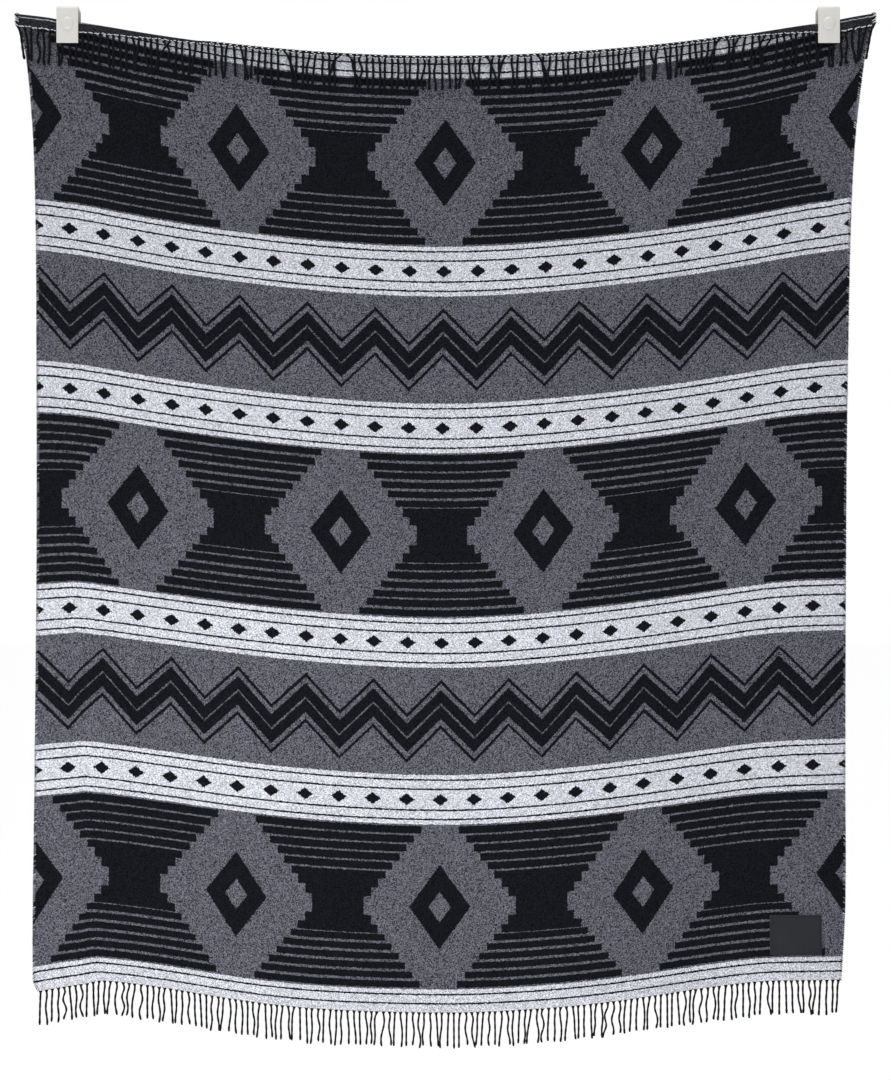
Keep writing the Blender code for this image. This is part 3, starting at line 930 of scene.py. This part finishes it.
class OBJECT_OT_throw_edging(bpy.types.Operator):
    """Overlock both side edges with light and dark thread"""

    bl_idname = "object.throw_edging"
    bl_label = "Overlocked Edges"

    def execute(self, context):
        sizes, colours = context.scene.throw_sizes, context.scene.throw_colours
        threads = (
            make_material("grey_overlock_thread", yarn, colours.overlock),
            make_material("dark_overlock_thread", yarn, colours.black),
            make_material("light_overlock_thread", yarn, colours.light),
        )
        hem = TURN_CORNER + math.pi * TURN_RADIUS
        chance = random.Random(RANDOM_SEED + 7)
        model = begin(
            bpy.ops.mesh.primitive_torus_add,
            major_radius=LOOP_RADIUS,
            minor_radius=LOOP_THREAD,
            major_segments=10,
            minor_segments=4,
        )
        bpy.ops.object.mode_set(mode="EDIT")
        bpy.ops.transform.resize(value=LOOP_SHAPE)
        bpy.ops.transform.rotate(value=LOOP_TILT, orient_axis="Y", center_override=(0, 0, 0))
        bpy.ops.object.mode_set(mode="OBJECT")
        bpy.ops.object.shade_smooth()
        for thread in threads:
            model.data.materials.append(thread)
        for side, name in ((-1, "edging_left"), (1, "edging_right")):
            loops = []
            for i, (place, out, through, along) in enumerate(
                edge_frames(side, sizes.cloth_length, sizes.stitch_pitch)
            ):
                on_hem = i * sizes.stitch_pitch < hem
                size = HEM_LOOP_SIZE if on_hem else 1.0
                matrix = (Matrix((out, through, along)) * size).transposed().to_4x4()
                matrix.translation = place - out * chance.uniform(*LOOP_DEPTH)
                loop = copy_piece(model, matrix)
                bright = 2 if on_hem or chance.random() < LIGHT_SHARE else 0
                shade = 1 if chance.random() < DARK_SHARE else bright
                loop.data.polygons.foreach_set("material_index", [shade] * len(loop.data.polygons))
                loops.append(loop)
            edging = join_pieces(loops, name)
            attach(edging, "root")
        bpy.data.objects.remove(model)
        return {"FINISHED"}


LABEL_MIDDLE = (0.5205, -1.364)
LABEL_TILT = math.radians(0.6)
LABEL_STEPS = (28, 22)
LABEL_BORDER = 0.0055  # how wide its edges are folded under
LABEL_FOLD = 0.00035  # how far they stand out
LABEL_EASE = 0.0015  # and the width over which that fades
LABEL_SAG = 0.00015
LABEL_SAG_SIZE = 0.02
LABEL_GAP = 0.0005  # from the cloth's face to the label's back
LABEL_THICKNESS = 0.0007
LABEL_BEVEL = 0.00025
STITCH_SIZE = (0.0024, 0.0006)
STITCH_INSET = 0.0028
STITCH_PITCH = 0.0031
STITCH_PROUD = 0.00085


def label_point(sizes, right, up):
    """A place on the label's back, from its shares across and up, following the cloth behind it."""
    offset = Matrix.Rotation(LABEL_TILT, 2) @ Vector(
        ((right - 0.5) * sizes.label_width, (up - 0.5) * sizes.label_height)
    )
    x, z = LABEL_MIDDLE[0] + offset.x, LABEL_MIDDLE[1] + offset.y
    down = (MIDDLE_TOP + weft_rise(x, 1.0) - z) / MIDDLE_HEIGHT
    y = CLOTH_DEPTH - fold_depth(x, down) - crease_depth(x, z)
    inset = min(
        min(right, 1 - right) * sizes.label_width, min(up, 1 - up) * sizes.label_height
    )
    border = LABEL_FOLD * (1 - smooth((inset - LABEL_BORDER) / LABEL_EASE))
    sag = LABEL_SAG * noise.noise(Vector((x, 0, z)) / LABEL_SAG_SIZE)
    return Vector((x, y - sizes.cloth_thickness / 2 - LABEL_GAP - border + sag, z))


class OBJECT_OT_throw_label(bpy.types.Operator):
    """Make the bare satin label and the thread that sews it on"""

    bl_idname = "object.throw_label"
    bl_label = "Sewn Label"

    def execute(self, context):
        sizes, colours = context.scene.throw_sizes, context.scene.throw_colours
        label = begin(
            bpy.ops.mesh.primitive_grid_add,
            x_subdivisions=LABEL_STEPS[0],
            y_subdivisions=LABEL_STEPS[1],
            size=1.0,
        )
        label.name = label.data.name = "satin_label"
        for point in label.data.vertices:
            point.co = label_point(sizes, point.co.x + 0.5, point.co.y + 0.5)
        apply_modifier(
            label, "SOLIDIFY", thickness=LABEL_THICKNESS, offset=1.0, use_even_offset=True
        )
        apply_modifier(label, "BEVEL", width=LABEL_BEVEL, segments=2, limit_method="ANGLE")
        bpy.ops.object.shade_smooth()
        woven = make_material("woven_polyester_satin", satin, colours.label)
        finish_piece(label, "label_satin", woven)
        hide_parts("label")

        model = thread_bit(*STITCH_SIZE)
        inset_x, inset_y = STITCH_INSET / sizes.label_width, STITCH_INSET / sizes.label_height
        corners = (
            (inset_x, inset_y),
            (1 - inset_x, inset_y),
            (1 - inset_x, 1 - inset_y),
            (inset_x, 1 - inset_y),
        )
        stitches = []
        for start, end in zip(corners, corners[1:] + corners[:1]):
            a, b = label_point(sizes, *start), label_point(sizes, *end)
            count = round((b - a).length / STITCH_PITCH)
            for i in range(count):
                share = (i + 0.5) / count
                right = start[0] + (end[0] - start[0]) * share
                up = start[1] + (end[1] - start[1]) * share
                place = label_point(sizes, right, up) + Vector((0, -STITCH_PROUD, 0))
                lean = Euler((0, -math.atan2(b.z - a.z, b.x - a.x), 0)).to_matrix().to_4x4()
                stitches.append(copy_piece(model, Matrix.Translation(place) @ lean))
        bpy.data.objects.remove(model)
        sewing = join_pieces(stitches, "label_stitches")
        thread = make_material("dark_polyester_thread", yarn, colours.label, 1500.0, 0.6)
        finish_piece(sewing, "label_satin", thread)
        return {"FINISHED"}


# A clip's strip, by the places of its corners as (y, z), and the radius of the bend at each
CLIP_GAUGE = 0.0024
CLIP_FOOT = (-0.02505, -0.0285)
CLIP_BENDS = (
    ((-0.02505, 0.0258), 0.0032),
    ((-0.0012, 0.0228), 0.0032),
    ((-0.0012, -0.012), 0.0020),
    ((-0.0158, -0.0205), 0.0016),
)
CLIP_LIP = (-0.0136, -0.0285)
BEND_STEPS = 8
CLIP_EDGE = 0.0007
BUTTON_RADIUS = 0.0097
BUTTON_PROUD = 0.0030
BUTTON_SEAT = 0.0003
BUTTON_HEIGHT = 0.0012


def clip_strip(width):
    """The clip's bent strip: its end drawn up the front, spun round each bend and down behind."""
    corners = [Vector((0, *CLIP_FOOT))]
    corners += [Vector((0, *corner)) for corner, _ in CLIP_BENDS]
    corners.append(Vector((0, *CLIP_LIP)))
    here = corners[0]
    strip = begin(bpy.ops.mesh.primitive_plane_add, size=1.0, location=here)
    strip.scale = (width, CLIP_GAUGE, 1)
    bpy.ops.object.transform_apply(location=True, rotation=False, scale=True)
    bpy.ops.object.mode_set(mode="EDIT")
    bpy.ops.mesh.select_all(action="SELECT")
    for i, (_, radius) in enumerate(CLIP_BENDS):
        before, corner, after = corners[i : i + 3]
        into, away = (corner - before).normalized(), (after - corner).normalized()
        turn = into.angle(away)
        cut = radius * math.tan(turn / 2)
        centre = corner + (away - into).normalized() * radius / math.cos(turn / 2)
        start = corner - into * cut
        bpy.ops.mesh.extrude_region_move(TRANSFORM_OT_translate={"value": start - here})
        side = 1 if into.cross(away).x < 0 else -1
        bpy.ops.mesh.spin(steps=BEND_STEPS, angle=side * turn, center=centre, axis=(1, 0, 0))
        here = corner + away * cut
    bpy.ops.mesh.extrude_region_move(TRANSFORM_OT_translate={"value": corners[-1] - here})
    bpy.ops.mesh.select_all(action="SELECT")
    bpy.ops.mesh.remove_doubles(threshold=0.00001)
    bpy.ops.mesh.normals_make_consistent(inside=False)
    bpy.ops.object.mode_set(mode="OBJECT")
    return strip


def clip_button():
    """The domed button on the clip's face: a ball flattened to the front and cut short behind."""
    face = CLIP_FOOT[0] - CLIP_GAUGE / 2 + BUTTON_SEAT
    button = begin(bpy.ops.mesh.primitive_uv_sphere_add, segments=40, ring_count=20, radius=1.0)
    bpy.ops.object.mode_set(mode="EDIT")
    bpy.ops.transform.rotate(value=math.pi / 2, orient_axis="X", center_override=(0, 0, 0))
    depth = BUTTON_PROUD + BUTTON_SEAT
    bpy.ops.transform.resize(value=(BUTTON_RADIUS, depth, BUTTON_RADIUS), center_override=(0, 0, 0))
    select_points(button, lambda place: place.y > 0.00001)
    bpy.ops.transform.resize(value=(1, CLIP_GAUGE / 2 / depth, 1), center_override=(0, 0, 0))
    bpy.ops.mesh.select_all(action="SELECT")
    bpy.ops.transform.translate(value=(0, face, BUTTON_HEIGHT))
    bpy.ops.object.mode_set(mode="OBJECT")
    return button


class OBJECT_OT_throw_clips(bpy.types.Operator):
    """Make the two spring clips"""

    bl_idname = "object.throw_clips"
    bl_label = "Spring Clips"

    def execute(self, context):
        sizes, colours = context.scene.throw_sizes, context.scene.throw_colours
        plastic = make_material("moulded_white_abs", moulded_abs, colours.clip)
        for side, node in ((-1, "clip_left"), (1, "clip_right")):
            button = clip_button()
            clip = clip_strip(sizes.clip_width)
            apply_modifier(
                clip, "BEVEL", width=CLIP_EDGE, segments=3, limit_method="ANGLE", angle_limit=1.0
            )
            apply_modifier(clip, "BOOLEAN", operation="UNION", object=button)
            bpy.data.objects.remove(button)
            select_only([clip])
            clip.location.x = side * CLIP_SPAN / 2
            bpy.ops.object.transform_apply(location=True, rotation=True, scale=True)
            bpy.ops.object.shade_smooth_by_angle(angle=math.radians(35))
            clip.name = clip.data.name = "spring_" + node
            finish_piece(clip, "clip_plastic", plastic)
            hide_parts(node)
        return {"FINISHED"}


# Stage: how high a strip of the wall the photograph shows, its middle, and the camera's distance
FRAME_HEIGHT = 1.620
FRAME_MIDDLE = (-0.004, -0.7725)
CAMERA_DISTANCE = 3.2
SENSOR_WIDTH = 36.0
FLOOR_HEIGHT = -2.4
FLOOR_SIZE = 60.0
AMBIENT = 0.44
SUN_STRENGTH = 2.05
SUN_PLACE = (-0.2, -0.45, 1.7)
SUN_ANGLE = math.radians(30)
LAMP_POWER = 8.4
LAMP_PLACE = (-0.5, -1.2, -1.2)
LAMP_TARGET = (0.0, 0.0, -0.85)
LAMP_SIZE = 0.7


def aim(thing, target):
    """Points a light or camera at a place."""
    thing.rotation_euler = (Vector(target) - thing.location).to_track_quat("-Z", "Y").to_euler()


def light_world(scene):
    """A white studio behind everything, which gives the scene less light than it shows."""
    world = bpy.data.worlds.new("studio")
    scene.world = world
    world.use_nodes = True
    world.node_tree.nodes.clear()
    add = partial(add_node, world.node_tree)
    shown = add("ShaderNodeLightPath")
    strength = add(RANGE, {"Value": shown, "To Min": AMBIENT, "To Max": 1.0})
    sky = add("ShaderNodeBackground", {"Color": linear("#FFFFFF"), "Strength": strength})
    add("ShaderNodeOutputWorld", {"Surface": sky})


class OBJECT_OT_throw_stage(bpy.types.Operator):
    """Make the pale floor, the soft lights and the camera"""

    bl_idname = "object.throw_stage"
    bl_label = "Stage"

    def execute(self, context):
        floor = begin(
            bpy.ops.mesh.primitive_plane_add, size=FLOOR_SIZE, location=(0, 0, FLOOR_HEIGHT)
        )
        floor.name = "floor"
        floor.data.materials.append(make_material("pale_matte_paint", matte_paint))

        sun = begin(bpy.ops.object.light_add, type="SUN", location=SUN_PLACE)
        sun.name = "soft_key"
        sun.data.energy = SUN_STRENGTH
        sun.data.angle = SUN_ANGLE
        aim(sun, (0, 0, 0))
        lamp = begin(bpy.ops.object.light_add, type="AREA", location=LAMP_PLACE)
        lamp.name = "soft_fill"
        lamp.data.energy = LAMP_POWER
        lamp.data.size = LAMP_SIZE
        lamp.visible_camera = False
        aim(lamp, LAMP_TARGET)
        light_world(context.scene)
        context.scene.view_settings.view_transform = "Standard"

        begin(
            bpy.ops.object.camera_add,
            location=(FRAME_MIDDLE[0], CLOTH_DEPTH - CAMERA_DISTANCE, FRAME_MIDDLE[1]),
        )
        camera = context.object
        camera.name = "camera"
        aim(camera, (FRAME_MIDDLE[0], CLOTH_DEPTH, FRAME_MIDDLE[1]))
        camera.data.sensor_width = SENSOR_WIDTH
        camera.data.lens = SENSOR_WIDTH * CAMERA_DISTANCE / FRAME_HEIGHT
        camera.data.dof.use_dof = False
        context.scene.camera = camera
        return {"FINISHED"}


class VIEW3D_PT_throw(bpy.types.Panel):
    """Lists the throw's pieces, sizes and colours"""

    bl_label = "Hanging Throw"
    bl_space_type = "VIEW_3D"
    bl_region_type = "UI"
    bl_category = "Throw"

    def draw(self, context):
        for group in (context.scene.throw_sizes, context.scene.throw_colours):
            box = self.layout.box()
            for key in group.__annotations__:
                box.prop(group, key)
        for operator in PIECES:
            self.layout.operator(operator.bl_idname)


PIECES = (
    OBJECT_OT_throw_cloth,
    OBJECT_OT_throw_fringes,
    OBJECT_OT_throw_hem_picks,
    OBJECT_OT_throw_edging,
    OBJECT_OT_throw_label,
    OBJECT_OT_throw_clips,
    OBJECT_OT_throw_stage,
)
CLASSES = (ThrowSizes, ThrowColours, *PIECES, VIEW3D_PT_throw)


def register():
    for item in CLASSES:
        bpy.utils.register_class(item)
    bpy.types.Scene.throw_sizes = PointerProperty(type=ThrowSizes)
    bpy.types.Scene.throw_colours = PointerProperty(type=ThrowColours)


def unregister():
    del bpy.types.Scene.throw_colours
    del bpy.types.Scene.throw_sizes
    for item in reversed(CLASSES):
        bpy.utils.unregister_class(item)


def main():
    register()
    bpy.ops.object.throw_cloth()
    bpy.ops.object.throw_fringes()
    bpy.ops.object.throw_hem_picks()
    bpy.ops.object.throw_edging()
    bpy.ops.object.throw_label()
    bpy.ops.object.throw_clips()
    bpy.ops.object.throw_stage()


if __name__ == "__main__":
    main()
